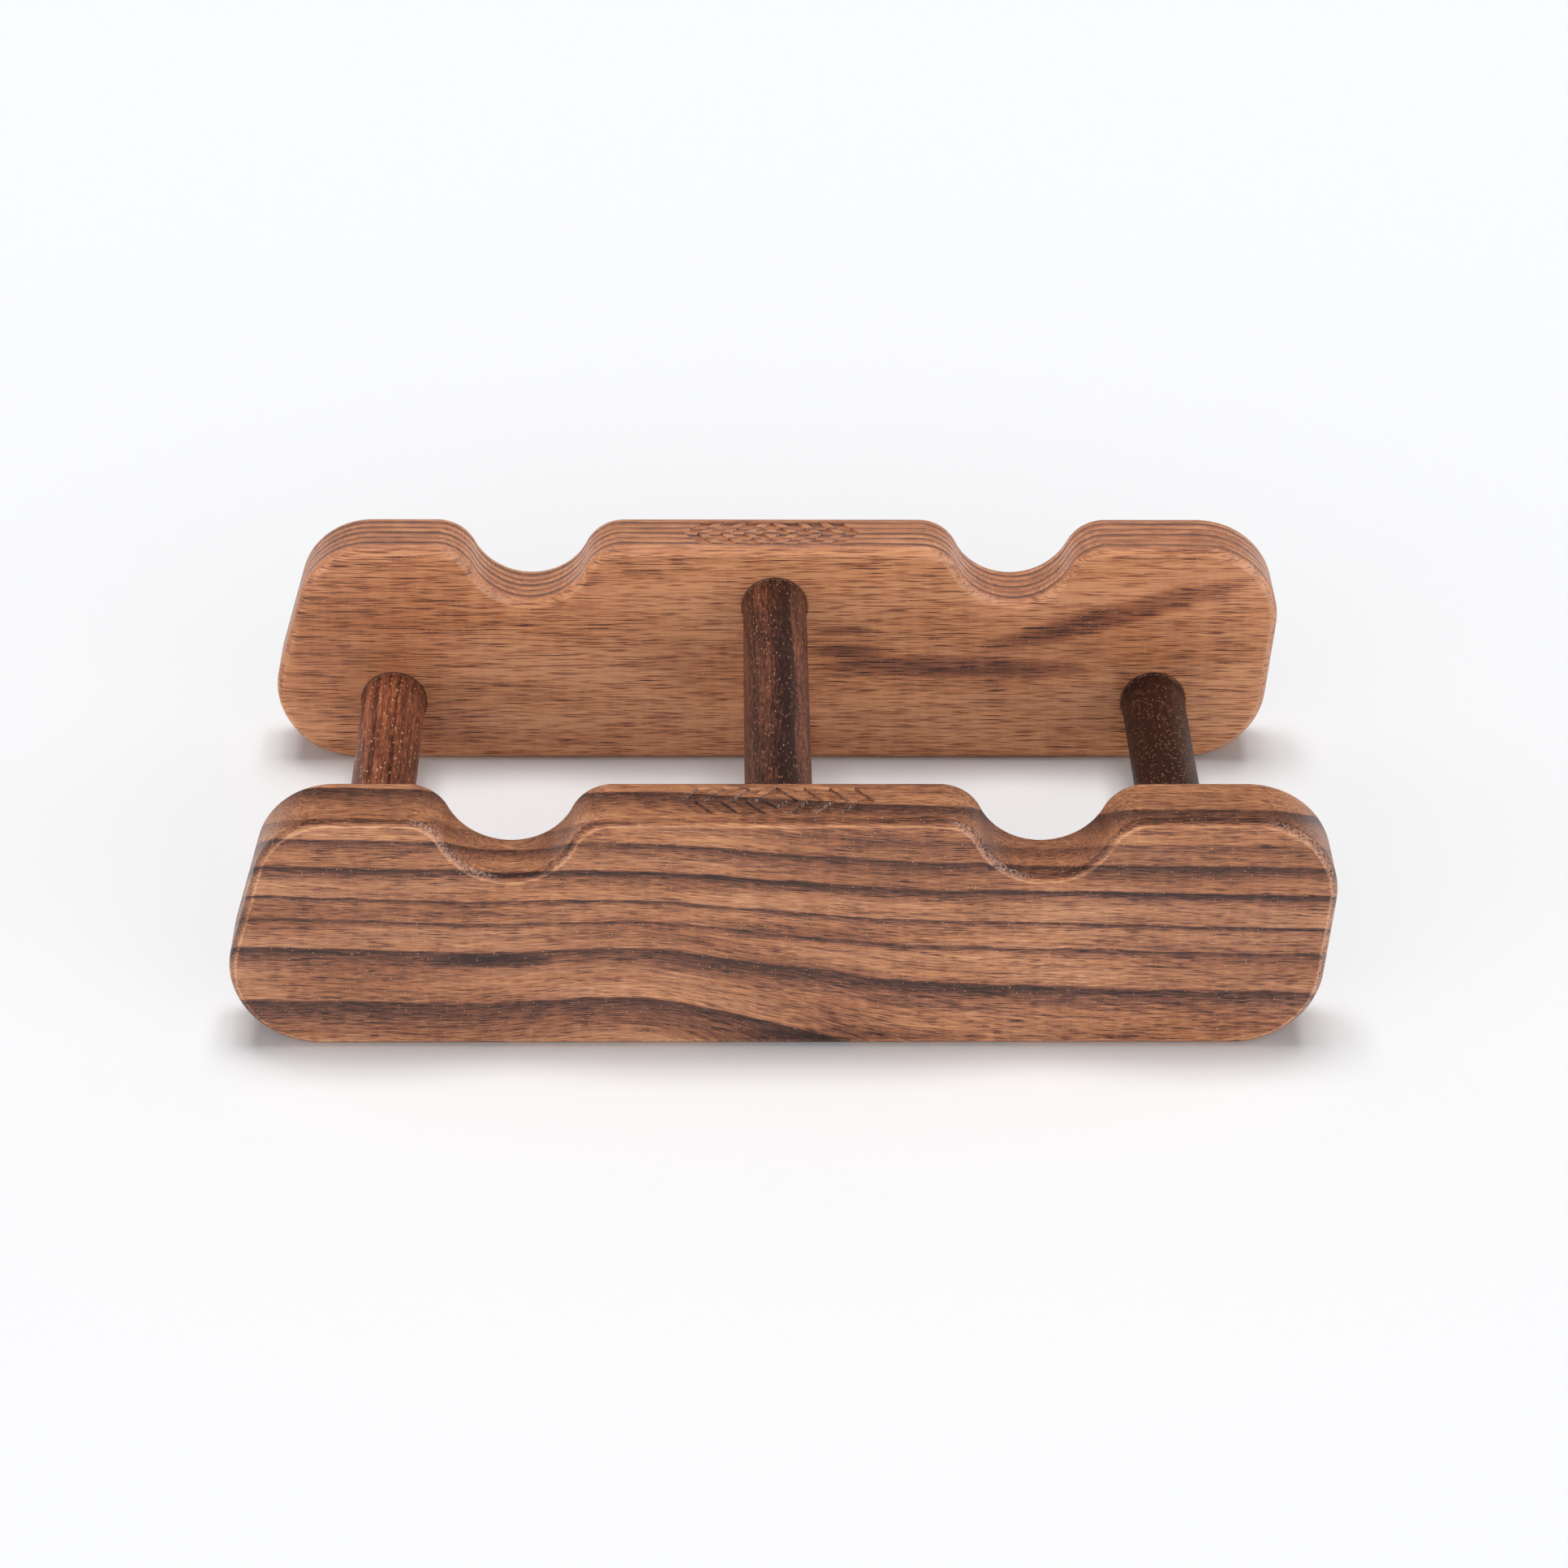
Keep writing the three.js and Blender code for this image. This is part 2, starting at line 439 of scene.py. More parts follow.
def walnut_shader(nodes, wood, spec):
    """The shader of one stick, with places in millimetres."""
    place = nodes.add("ShaderNodeTexCoord", {}, {}, output="Object")
    place = nodes.stretch(place, (MM, MM, MM))
    normal = nodes.add("ShaderNodeNewGeometry", {}, {}, output="Normal")
    grain = grain_of(nodes, place, spec)
    facing = facing_of(nodes, normal, spec)
    tone, patch = wood_tone(nodes, place, grain, facing, spec)
    body = wood_colour(nodes, wood, place, tone, patch, grain, spec)
    return oiled_surface(nodes, wood, place, body, grain, facing, spec)


def grain_of(nodes, place, spec):
    """The fibres' own coordinates, and the streaks, threads and pores that follow them."""
    x, y, z = nodes.split(place)
    if spec["axis"] == "X":
        along, across, up = x, y, z
    else:
        along, across, up = y, x - spec["centre"][0], z - spec["centre"][1]
    seed = spec["seed"]
    wander = nodes.noise(place, spec["wander_size"], 1, 0.5, seed) * spec["wander"]
    ripple = nodes.noise(place, (10, 3, 3), 2, 0.5, seed + 1) * spec["ripple"]
    level = spec["level"](along, across, up) + wander + ripple
    side = across if spec["level"] is front_level else up
    run = nodes.combine(along, side, level)
    near, chance = nodes.cells(run, spec["pore_size"], seed + 7)
    return {
        "run": run,
        "level": level,
        "streak": nodes.noise(run, spec["streak_size"], 3, 0.65, seed + 3),
        "thread": nodes.noise(run, spec["thread_size"], 2, 0.6, seed + 4),
        "pores": near.step(0.42, 0.16) * chance.step(1 - spec["pores"], 1.15 - spec["pores"]),
    }


def facing_of(nodes, normal, spec):
    """Masks that tell which way the surface faces."""
    x, y, z = nodes.split(normal)
    end_on, side_on = (x, y) if spec["axis"] == "X" else (y, x)
    end_on, side_on = end_on.absolute(), side_on.absolute()
    rounded = side_on.step(0.30, 0.55) * side_on.step(0.995, 0.93)
    return {
        "up": z.step(0.5, 0.9),
        "end": end_on.step(0.35, 0.95) * side_on.step(0.9, 0.7),
        "face": side_on.step(0.2, 0.9),
        # Painted highlight: a light line along each round-over, a little above the flat face that
        # it meets.
        "rubbed": side_on.step(0.82, 0.90) * side_on.step(0.97, 0.93),
        # A darker band along upward-facing round-overs, just above the painted highlight line.
        "oiled": side_on.step(0.15, 0.45) * side_on.step(0.82, 0.66) * z.step(0.0, 0.3),
        "torn": rounded * x.step(0.02, 0.35),
    }


def wood_tone(nodes, place, grain, facing, spec):
    """How light the wood is, from 0 for latewood to 1 for the palest, and its broad patches; it
    also holds a painted highlight along the round-overs and painted shade on upward faces.
    """
    run, level, seed = grain["run"], grain["level"], spec["seed"]
    streak, thread = grain["streak"], grain["thread"]
    patch = nodes.noise(run, (42, 9, 6), 1, 0.5, seed + 2)
    shimmer = nodes.noise(run, (1.3, 6, 4), 1, 0.5, seed + 5)
    low, high = spec["ring_range"]
    rings = nodes.ramp((level - low) / (high - low), ring_stops(spec["rings"], low, high))
    late = rings * (patch * 1.5 + streak * 1.2 + 0.95).at_least(0.3)
    dash = nodes.noise(run, spec["dash_size"], 1, 0.5, seed + 8).step(0.05, 0.15)
    smudges = smudged(nodes, place, spec["smudges"]) * (streak * 2.4 + thread * 2 + 1)
    open_face = facing["face"] * spec["face_share"] + (1 - spec["face_share"])
    tone = (
        spec["tone"]
        + patch * spec["patchy"]
        + streak * spec["streaky"]
        + thread * spec["thready"]
        + shimmer * 0.16
        - late * spec["contrast"]
        - grain["pores"] * spec["pore_depth"] * open_face
        - dash * spec["dash_depth"] * open_face
        - smudges
        # Painted highlight along the round-overs.
        + facing["rubbed"] * spec["rubbed"]
        # Darker band along upward-facing round-overs.
        - facing["oiled"] * spec["edge"]
        - facing["end"] * 0.03
        # Painted shade: upward faces darkened in colour.
        - facing["up"] * spec["top_shade"]
        # The engraved band is coloured a little darker.
        - engraved_band_mask(nodes, place, spec["band"]) * 0.05
    )
    return tone, patch


def wood_colour(nodes, wood, place, tone, patch, grain, spec):
    """The wood's colour for its tone, warmer in some patches than in others."""
    palette = (
        (0.0, wood.late),
        (0.28, wood.shade),
        (0.5, wood.heart),
        (0.75, wood.gold),
        (1.0, wood.pale),
    )
    height = nodes.split(place)[2]
    cooler = patch * 2.4 - grain["streak"] * 1.6 + 0.5
    cooler = cooler - height.step(24, 42) * spec["warm_top"]
    tint = nodes.ramp(cooler, ((0.0, spec["warm"]), (1.0, spec["cool"])))
    return nodes.mix(1.0, nodes.ramp(tone, palette), tint, blend="MULTIPLY")


def oiled_surface(nodes, wood, place, body, grain, facing, spec):
    """The shader itself: the wood with its raised fibres and specks, a painted sheen on upward
    faces and a painted highlight round each dowel next to the rails, oiled and a little rough.
    """
    seed = spec["seed"]
    fuzz_and_sheen = (*wood.fuzz_and_sheen, 1)
    lint = nodes.noise(place, (0.42, 0.42, 0.42), 2, 0.7, seed + 10).step(-0.08, 0.12)
    scuffed = facing["torn"] * lint
    near, chance = nodes.cells(place, spec["speck_size"], seed + 9)
    speck = near.step(0.40, 0.18) * chance.step(1 - spec["specks"], 1.0)
    skin = nodes.mix(scuffed * spec["scuff"], body, fuzz_and_sheen)
    # Painted sheen: upward faces mixed towards the pale fibre colour, as if they reflected the
    # room.
    skin = nodes.mix(facing["up"] * spec["dry_top"], skin, fuzz_and_sheen)
    if spec["joint"]:
        depth = nodes.split(place)[1].absolute()
        # Painted highlight: a light, fibrous ring round the dowel just before it enters a rail.
        torn = depth.step(spec["joint"] - JOINT_HIGHLIGHT_BEGINS, spec["joint"] - JOINT_HIGHLIGHT_FULLY) * lint
        skin = nodes.mix(torn * 0.7, skin, fuzz_and_sheen)
    skin = nodes.mix(speck * spec["speck_share"], skin, (*spec["speck_colour"], 1))
    rough = spec["rough"] + grain["streak"] * 0.15 + grain["pores"] * 0.15 + scuffed * 0.15
    relief = grain["thread"] * 0.5 - grain["pores"] * 0.5 + scuffed * 0.8 + speck * 0.5
    bump = nodes.add(
        "ShaderNodeBump",
        {},
        {"Strength": spec["bump"], "Distance": RELIEF, "Height": relief},
    )
    return nodes.add(
        "ShaderNodeBsdfPrincipled",
        {},
        {
            "Base Color": skin,
            "Roughness": rough,
            "Normal": bump,
            "IOR": 1.40,
            "Coat Weight": spec["coat"],
            "Coat Roughness": 0.25,
        },
    )


def wood_specs(wood):
    """What differs from one stick of walnut to the next."""
    rail = {
        "axis": "X",
        "wander_size": (60, 26, 26),
        "ripple": 0.7,
        "specks": 0.22,
        "speck_size": (0.6, 0.36, 0.36),
        "speck_colour": wood.pale,
        "speck_share": 0.45,
        "warm_top": 0.0,
        "face_share": 0.0,
        "dry_top": 0.02,
        "coat": 0.12,
        "joint": None,
        "scuff": 0.6,
        "rough": wood.roughness,
        "bump": 0.5,
    }
    dowel = {
        "axis": "Y",
        "wander": 2.0,
        "wander_size": (12, 40, 12),
        "ripple": 0.5,
        "ring_range": (-9.0, 9.0),
        "streak_size": (20, 1.0, 1.0),
        "thread_size": (3.0, 0.3, 0.3),
        "pore_size": (2.4, 0.5, 0.5),
        "pores": 0.4,
        "pore_depth": 0.12,
        "dash_size": (1.8, 0.25, 0.25),
        "dash_depth": 0.10,
        "patchy": 0.4,
        "streaky": 0.5,
        "thready": 0.45,
        "smudges": (),
        "speck_colour": wood.gold,
        "speck_share": 0.7,
        "scuff": 0.06,
        "rough": wood.roughness + 0.08,
        "bump": 0.7,
        "rubbed": 0.0,
        "edge": 0.0,
        "top_shade": 0.0,
        "band": None,
        "warm_top": 0.0,
        "face_share": 0.0,
        "dry_top": 0.0,
        "coat": 0.03,
        "warm": (1.0, 0.84, 0.72),
        "cool": (0.98, 0.82, 0.82),
    }
    return {
        "front_rail": rail
        | {
            "level": front_level,
            "rings": FRONT_RINGS,
            "ring_range": (-1.0, 63.0),
            "wander": 1.6,
            "patchy": 0.6,
            "contrast": 0.58,
            "tone": 0.67,
            "top_shade": 0.02,
            "warm_top": 0.6,
            "edge": 0.20,
            "rubbed": 0.22,
            "warm": (1.0, 0.90, 0.80),
            "cool": (0.98, 0.96, 1.0),
            "streak_size": (26, 2.4, 0.8),
            "thread_size": (4.0, 0.34, 0.2),
            "streaky": 0.62,
            "thready": 1.15,
            "dash_size": (4.5, 0.26, 0.13),
            "dash_depth": 0.34,
            "pore_size": (2.8, 0.5, 0.42),
            "pores": 0.5,
            "pore_depth": 0.22,
            "smudges": FRONT_SMUDGES,
            "seed": 3.0,
        },
        "back_rail": rail
        | {
            "level": back_level,
            "rings": BACK_RINGS,
            "ring_range": (-4.0, 18.0),
            "wander": 1.0,
            "patchy": 0.45,
            "contrast": 0.70,
            "tone": 0.91,
            "top_shade": 0.13,
            "dry_top": 0.16,
            "rubbed": 0.04,
            "edge": 0.03,
            "warm": (1.0, 0.81, 0.66),
            "cool": (1.0, 0.84, 0.78),
            "streak_size": (22, 1.1, 1.4),
            "thread_size": (5.0, 0.26, 0.5),
            "streaky": 0.7,
            "thready": 0.9,
            "face_share": 0.85,
            "dash_size": (9.0, 0.17, 1.2),
            "dash_depth": 0.50,
            "pore_size": (6.0, 0.38, 1.5),
            "pores": 0.75,
            "pore_depth": 0.42,
            "smudges": BACK_SMUDGES,
            "seed": 11.0,
        },
        "left_dowel": dowel
        | {
            "level": dowel_level(0.4),
            "rings": ((-3.0, 0.9, 1.8, 0.4), (0.8, 0.8, 1.8, 0.5), (4.6, 1.0, 1.2, 0.4)),
            "contrast": 0.34,
            "tone": 0.45,
            "patchy": 0.7,
            "streaky": 0.9,
            "thready": 0.9,
            "warm": (1.0, 0.78, 0.70),
            "cool": (1.0, 0.74, 0.68),
            "specks": 0.40,
            "speck_size": (0.62, 1.1, 0.62),
            "speck_colour": wood.pale,
            "speck_share": 1.0,
            "seed": 21.0,
        },
        "right_dowel": dowel
        | {
            "level": dowel_level(0.2),
            "rings": ((-4.4, 0.6, 1.6, 0.4), (-0.6, 0.7, 1.6, 0.4), (3.1, 0.8, 1.6, 0.4)),
            "contrast": 0.16,
            "tone": -0.02,
            "specks": 0.7,
            "speck_size": (0.42, 0.7, 0.42),
            "seed": 31.0,
        },
        "centre_dowel": dowel
        | {
            "level": dowel_level(-0.15),
            "rings": ((-3.9, 0.6, 1.6, 0.4), (2.6, 1.1, 5.0, 0.8)),
            "contrast": 0.26,
            "tone": 0.21,
            "streaky": 0.8,
            "thready": 0.8,
            "specks": 0.55,
            "speck_size": (0.45, 1.3, 0.45),
            "seed": 41.0,
        },
    }


# Shapes


def new_object(name, mesh):
    made = bpy.data.objects.new(name, mesh)
    bpy.context.scene.collection.objects.link(made)
    return made


def evaluated_mesh(thing, name):
    """The object's mesh with its modifiers applied, as a mesh of its own."""
    bpy.context.view_layer.update()
    graph = bpy.context.evaluated_depsgraph_get()
    mesh = bpy.data.meshes.new_from_object(thing.evaluated_get(graph), depsgraph=graph)
    mesh.name = name
    return mesh


def discard(thing):
    mesh = thing.data
    bpy.data.objects.remove(thing)
    bpy.data.meshes.remove(mesh)


def arc(centre_x, centre_z, radius, start, end, facing=1):
    """Points along an arc, each with the outline's outward normal. A notch's arc faces -1."""
    steps = max(2, round(abs(end - start) / ARC_STEP))
    points = []
    for i in range(steps + 1):
        turn = start + (end - start) * i / steps
        out = Vector((math.cos(turn), math.sin(turn)))
        points.append((Vector((centre_x, centre_z)) + out * radius, out * facing))
    return points


def notch_arcs(rail, x, height):
    """Right shoulder, seat and left shoulder of a notch whose middle is at x."""
    seat_z = height - rail.notch_depth + rail.notch_radius
    shoulder_z = height - rail.shoulder_radius
    rise = seat_z - shoulder_z
    offset = shoulder_offset(rail)
    meet = math.atan2(rise, offset)
    top = math.pi / 2
    return [
        *arc(x + offset, shoulder_z, rail.shoulder_radius, top, math.pi - meet),
        *arc(x, seat_z, rail.notch_radius, -meet, meet - math.pi, facing=-1),
        *arc(x - offset, shoulder_z, rail.shoulder_radius, meet, top),
    ]


def shoulder_offset(rail):
    """Distance along the rail from a notch's middle to the end of its shoulder."""
    rise = rail.notch_radius - rail.notch_depth + rail.shoulder_radius
    return math.sqrt((rail.notch_radius + rail.shoulder_radius) ** 2 - rise**2)


def lean_back(height, lean, outer, inner):
    """From an end's outermost corner centre back to its other corner's centre."""
    rise = height - outer - inner
    return (math.sin(lean) * rise + inner - outer) / math.cos(lean)


def rail_outline(rail, low, high):
    """A rail's outline seen from the front, anticlockwise, as points with outward normals."""
    height = high.z
    down = -math.pi / 2
    up = math.pi / 2
    right = -rail.right_lean
    left = math.pi - rail.left_lean
    low_left = low.x + rail.lower_left
    high_left = low_left + lean_back(height, rail.left_lean, rail.lower_left, rail.upper_left)
    high_right = high.x - rail.upper_right
    back = lean_back(height, rail.right_lean, rail.upper_right, rail.lower_right)
    points = [
        *arc(high_right - back, rail.lower_right, rail.lower_right, down, right),
        *arc(high_right, height - rail.upper_right, rail.upper_right, right, up),
        *notch_arcs(rail, high.x - rail.right_notch, height),
        *notch_arcs(rail, low.x + rail.left_notch, height),
        *arc(high_left, height - rail.upper_left, rail.upper_left, up, left),
        *arc(low_left, rail.lower_left, rail.lower_left, left, 3 * up),
    ]
    return [
        point
        for i, point in enumerate(points)
        if (point[0] - points[i - 1][0]).length > 1e-3 * MM
    ]


def skin_over(shape, rings):
    """Joins rings of equally many points into a closed solid, capped at both ends."""
    for near, far in zip(rings, rings[1:]):
        for i in range(len(near)):
            shape.faces.new((near[i - 1], near[i], far[i], far[i - 1]))
    shape.faces.new(rings[0])
    shape.faces.new(rings[-1][::-1])


def rail_blank(rail, low, high):
    """The shaped rail before it is bored and engraved, with round-overs along both faces."""
    outline = rail_outline(rail, low, high)
    quarter = [i / ROUND_OVER_STEPS * math.pi / 2 for i in range(ROUND_OVER_STEPS + 1)]
    radius = rail.round_over
    front = [(low.y + radius * (1 - math.cos(t)), radius * (1 - math.sin(t))) for t in quarter]
    back = [(high.y - radius * (1 - math.cos(t)), radius * (1 - math.sin(t))) for t in quarter]
    shape = bmesh.new()
    rings = []
    for y, inset in front + back[::-1]:
        places = [point - normal * inset for point, normal in outline]
        rings.append([shape.verts.new((p.x, y, p.y)) for p in places])
    skin_over(shape, rings)
    return finished(shape, "rail_blank")


def finished(shape, name):
    """A mesh from bmesh work, with its faces turned outwards."""
    bmesh.ops.recalc_face_normals(shape, faces=shape.faces)
    mesh = bpy.data.meshes.new(name)
    shape.to_mesh(mesh)
    shape.free()
    return mesh


def add_turning(shape, profile, x, z, sides):
    """Adds a closed turned solid about a line along Y, from a profile of (y, radius)."""
    rings = []
    for y, radius in profile:
        ring = []
        for i in range(sides):
            turn = 2 * math.pi * i / sides
            ring.append(
                shape.verts.new((x + radius * math.cos(turn), y, z + radius * math.sin(turn)))
            )
        rings.append(ring)
    skin_over(shape, rings)


def socket_cutter(rail, mouth_y, inwards):
    """Three bores that open at mouth_y; inwards is the direction of +Y or -Y into the wood."""
    shape = bmesh.new()
    for node in DOWELS:
        low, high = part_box(node)
        radius = (high.x - low.x) / 2 + rail.socket_fit
        ease = rail.socket_ease
        profile = [
            (mouth_y + inwards * rail.socket_depth, radius),
            (mouth_y + inwards * ease, radius),
            (mouth_y - inwards * OVERSHOOT, radius + ease + OVERSHOOT),
        ]
        add_turning(shape, profile, (low.x + high.x) / 2, (low.z + high.z) / 2, SOCKET_SIDES)
    return new_object("socket_cutter", finished(shape, "socket_cutter"))


def widened(points, amount):
    """A polygon, listed anticlockwise, with every side moved outwards by amount."""
    moved = []
    for i, point in enumerate(points):
        before = (point - points[i - 1]).normalized()
        after = (points[(i + 1) % len(points)] - point).normalized()
        out = Vector((before.y, -before.x)) + Vector((after.y, -after.x))
        moved.append(point + out * (2 * amount / out.length_squared))
    return moved


def add_stamp(shape, loops, floor_z, wall, draft):
    """Adds a closed cutter that leans out as it rises; a second loop is a hole through it."""
    levels = []
    for z, amount in ((floor_z, 0), (floor_z + wall, draft * wall)):
        ways = (amount, -amount)
        level = [widened(loop, way) for loop, way in zip(loops, ways)]
        levels.append([[shape.verts.new((p.x, p.y, z)) for p in loop] for loop in level])
    for lower, upper in zip(*levels):
        for i in range(len(lower)):
            shape.faces.new((lower[i - 1], lower[i], upper[i], upper[i - 1]))
    for level in levels:
        if len(level) == 1:
            shape.faces.new(level[0])
            continue
        outer, inner = level
        for i in range(len(outer)):
            shape.faces.new((outer[i - 1], outer[i], inner[i], inner[i - 1]))


def tree_with_inputs(name, inputs):
    """A geometry node tree with a geometry socket each way and the named inputs."""
    tree = bpy.data.node_groups.new(name, "GeometryNodeTree")
    tree.interface.new_socket("Geometry", in_out="INPUT", socket_type="NodeSocketGeometry")
    tree.interface.new_socket("Geometry", in_out="OUTPUT", socket_type="NodeSocketGeometry")
    for label, kind in inputs:
        tree.interface.new_socket(label, in_out="INPUT", socket_type="NodeSocket" + kind)
    return tree


def grow(tree, kind, settings, sockets):
    """Adds a geometry node: its settings first, then the values or links of its sockets."""
    made = tree.nodes.new(kind)
    for name, value in settings.items():
        setattr(made, name, value)
    for key, value in sockets.items():
        if isinstance(value, bpy.types.NodeSocket):
            tree.links.new(value, made.inputs[key])
        else:
            made.inputs[key].default_value = value
    return made


def run_tree(thing, tree, values, name):
    """The mesh that the tree makes of the object, with each input set by its identifier."""
    modifier = thing.modifiers.new(tree.name, "NODES")
    modifier.node_group = tree
    for item in tree.interface.items_tree:
        if item.in_out == "INPUT" and item.name in values:
            modifier[item.identifier] = values[item.name]
    mesh = evaluated_mesh(thing, name)
    thing.modifiers.remove(modifier)
    return mesh


def repeat_tree():
    """Repeats the object's shape along +X, and again turned half round, along -X."""
    tree = tree_with_inputs(
        "repeat_both_ways",
        (("First", "Float"), ("Pitch", "Float"), ("Count", "Int"), ("Material", "Material")),
    )
    source = tree.nodes.new("NodeGroupInput").outputs
    start = grow(tree, "ShaderNodeCombineXYZ", {}, {"X": source["First"]})
    offset = grow(tree, "ShaderNodeCombineXYZ", {}, {"X": source["Pitch"]})
    line = grow(
        tree,
        "GeometryNodeMeshLine",
        {"mode": "OFFSET"},
        {
            "Count": source["Count"],
            "Start Location": start.outputs[0],
            "Offset": offset.outputs[0],
        },
    )
    copies = grow(
        tree,
        "GeometryNodeInstanceOnPoints",
        {},
        {"Points": line.outputs[0], "Instance": source["Geometry"]},
    )
    turned = grow(
        tree,
        "GeometryNodeTransform",
        {},
        {"Geometry": copies.outputs[0], "Rotation": (0, 0, math.pi)},
    )
    joined = grow(tree, "GeometryNodeJoinGeometry", {}, {})
    tree.links.new(copies.outputs[0], joined.inputs[0])
    tree.links.new(turned.outputs[0], joined.inputs[0])
    end_tree(tree, joined.outputs[0], source["Material"])
    return tree


def end_tree(tree, shape, material):
    """Ends a tree in real geometry that has its material."""
    real = grow(tree, "GeometryNodeRealizeInstances", {}, {"Geometry": shape})
    painted = grow(
        tree,
        "GeometryNodeSetMaterial",
        {},
        {"Geometry": real.outputs[0], "Material": material},
    )
    grow(tree, "NodeGroupOutput", {}, {"Geometry": painted.outputs[0]})


def band_plan(rail, band, low, high):
    """Middle, half width and number of chevrons each way of the band between the notches."""
    half = (high.y - low.y) / 2 - rail.round_over - band.border
    middle = (low.x + rail.left_notch + high.x - rail.right_notch) / 2
    land = (high.x - rail.right_notch) - middle - shoulder_offset(rail)
    tip = band.first + band.reach + band.stroke
    count = max(0, math.floor((land - band.margin - tip) / band.pitch) + 1)
    return Vector((middle, (low.y + high.y) / 2, high.z)), half, count


def band_box(rail, band, low, high):
    """Middle, half length, half width and top of the band, in millimetres."""
    middle, half, count = band_plan(rail, band, low, high)
    half_length = band.first + band.reach + band.stroke + (count - 1) * band.pitch
    return [part / MM for part in (middle.x, middle.y, half_length, half, middle.z)]


def band_cutter(rail, band, low, high, material):
    """Cutter for the band of chevrons and a lozenge on the flat between the notches."""
    middle, half, count = band_plan(rail, band, low, high)
    wall = band.depth + OVERSHOOT
    draft = band.draft / band.depth
    arm, reach = band.stroke, band.reach
    corners = ((0, -half), (arm, -half), (arm + reach, 0), (arm, half), (0, half), (reach, 0))
    shape = bmesh.new()
    add_stamp(shape, [[Vector(corner) for corner in corners]], 0, wall, draft)
    chevron = new_object("chevron_cutter", finished(shape, "chevron_cutter"))
    values = {"First": band.first, "Pitch": band.pitch, "Count": count, "Material": material}
    repeated = run_tree(chevron, repeat_tree(), values, "chevrons")
    discard(chevron)

    reach = band.lozenge_reach
    share = 1 - band.lozenge_stroke / reach
    outer = [Vector(corner) for corner in ((reach, 0), (0, half), (-reach, 0), (0, -half))]
    shape = bmesh.new()
    shape.from_mesh(repeated)
    add_stamp(shape, [outer, [corner * share for corner in outer]], 0, wall, draft)
    bpy.data.meshes.remove(repeated)
    bmesh.ops.translate(shape, verts=shape.verts, vec=middle - Vector((0, 0, band.depth)))
    return new_object("band_cutter", finished(shape, "band_cutter"))


def cut(thing, cutters):
    """Cuts the cutters out of the object, and discards them."""
    for cutter in cutters:
        modifier = thing.modifiers.new("cut", "BOOLEAN")
        modifier.operation = "DIFFERENCE"
        modifier.solver = "EXACT"
        modifier.object = cutter
    mesh = evaluated_mesh(thing, thing.name)
    thing.modifiers.clear()
    old = thing.data
    thing.data = mesh
    bpy.data.meshes.remove(old)
    for cutter in cutters:
        discard(cutter)


def smooth_curves(thing):
    """Smooth shading over curved faces that leaves flat faces flat."""
    mesh = thing.data
    mesh.polygons.foreach_set("use_smooth", [True] * len(mesh.polygons))
    mesh.set_sharp_from_angle(angle=CRISP_EDGE)
    modifier = thing.modifiers.new("weighted", "WEIGHTED_NORMAL")
    modifier.keep_sharp = True
    modifier.weight = 100
    thing.data = evaluated_mesh(thing, thing.name)
    thing.modifiers.clear()
    bpy.data.meshes.remove(mesh)


def make_rail(node, settings, band, material):
    """One rail: shaped, bored for the dowels and engraved."""
    low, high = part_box(node)
    in_front = low.y < 0
    mouth_y = high.y if in_front else low.y
    rail = new_object(node + "_wood", rail_blank(settings, low, high))
    rail.data.materials.append(material)
    sockets = socket_cutter(settings, mouth_y, -1 if in_front else 1)
    cut(rail, [sockets, band_cutter(settings, band, low, high, material)])
    smooth_curves(rail)
    return rail


